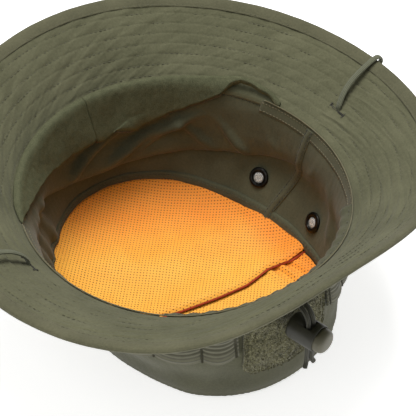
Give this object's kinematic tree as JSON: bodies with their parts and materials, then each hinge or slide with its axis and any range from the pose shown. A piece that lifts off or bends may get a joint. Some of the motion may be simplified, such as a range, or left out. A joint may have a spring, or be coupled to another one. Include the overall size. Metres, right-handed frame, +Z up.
{
  "type": "boonie hat",
  "caption": "Wide-brimmed soft boonie hat lying crown down, with mesh lining, fleece sweatband, side brim loops, foliage band and a sprung cord lock at the back.",
  "frame": {"origin": "on the outer face of the flat crown top, straight under the middle of the head opening; the hat lies crown down, so this is its lowest face", "axes": "+Z up out of the head opening (the wearer's down), +Y towards the front of the hat where the fleece sweatband is, +X towards the wearer's left, -Y towards the back where the cord lock hangs"},
  "size_m": [0.2828, 0.2672, 0.1302],
  "materials": {
    "crown_cloth": "matt tightly woven olive green cloth",
    "brim_cloth": "matt tightly woven olive green cloth with stitched rows",
    "interlining": "stiff hidden interlining",
    "fleece": "dark green brushed fleece",
    "edge_tape": "narrow folded binding tape",
    "orange_mesh": "orange perforated mesh",
    "loop_pile": "olive loop pile",
    "webbing": "olive ribbed webbing",
    "elastic": "braided flat elastic, grey green",
    "cord": "dark braided elastic cord",
    "lock_plastic": "dark olive moulded plastic, satin",
    "plunger_plastic": "olive moulded plastic, satin",
    "black_brass": "black lacquered, satin",
    "steel_screen": "fine grey woven wire screen, dull",
    "spring_steel": "bright spring wire"
  },
  "bodies": {
    "hat": {"crown_top_panel": "crown_cloth", "crown_wall_front": "crown_cloth", "crown_wall_back": "crown_cloth", "side_seam_fell_left": "crown_cloth", "side_seam_fell_right": "crown_cloth", "eyelet_grommet_left_front": "black_brass", "eyelet_washer_left_front": "black_brass", "eyelet_screen_left_front": "steel_screen", "eyelet_grommet_left_back": "black_brass", "eyelet_washer_left_back": "black_brass", "eyelet_screen_left_back": "steel_screen", "eyelet_grommet_right_front": "black_brass", "eyelet_washer_right_front": "black_brass", "eyelet_screen_right_front": "steel_screen", "eyelet_grommet_right_back": "black_brass", "eyelet_washer_right_back": "black_brass", "eyelet_screen_right_back": "steel_screen", "mesh_lining_front": "orange_mesh", "mesh_lining_back": "orange_mesh", "lining_seam_binding": "edge_tape", "sweatband_left": "fleece", "sweatband_edge_left": "edge_tape", "sweatband_right": "fleece", "sweatband_edge_right": "edge_tape", "head_seam_tape_left": "brim_cloth", "head_seam_tape_right": "brim_cloth", "adjuster_channel": "crown_cloth", "brim_interlining": "interlining", "brim_inner_panel": "brim_cloth", "brim_outer_panel": "brim_cloth", "brim_edge_binding": "brim_cloth", "brim_loop_left": "elastic", "loop_bartack_left": "edge_tape", "brim_loop_right": "elastic", "loop_bartack_right": "edge_tape", "patch_panel_back": "loop_pile", "foliage_band_left": "webbing", "foliage_band_right": "webbing", "cord_exit_patch": "crown_cloth", "adjuster_cord_inner_left": "cord", "adjuster_cord_inner_right": "cord"},
    "adjuster_tails": {"adjuster_cord_tail_left": "cord", "adjuster_cord_tail_right": "cord"},
    "cord_lock": {"cord_lock_barrel": "lock_plastic", "cord_lock_spring": "spring_steel"},
    "lock_plunger": {"cord_lock_plunger": "plunger_plastic"}
  },
  "joints": [
    {"name": "lock_swing", "type": "hinge", "parent": "hat", "child": "adjuster_tails", "pos_m": [-0.004, -0.0978, 0.0826], "axis": [-1, 0, 0], "range_deg": [0, 60]},
    {"name": "lock_slide", "type": "slide", "parent": "adjuster_tails", "child": "cord_lock", "axis": [0, 0, -1], "range_m": [-0.002, 0.012]},
    {"name": "plunger_press", "type": "slide", "parent": "cord_lock", "child": "lock_plunger", "axis": [-0.1977, 0.9803, 0], "range_m": [0, 0.004], "stiffness_N_per_m": 600, "springref_m": -0.002, "deforming": ["cord_lock_spring"]}
  ]
}
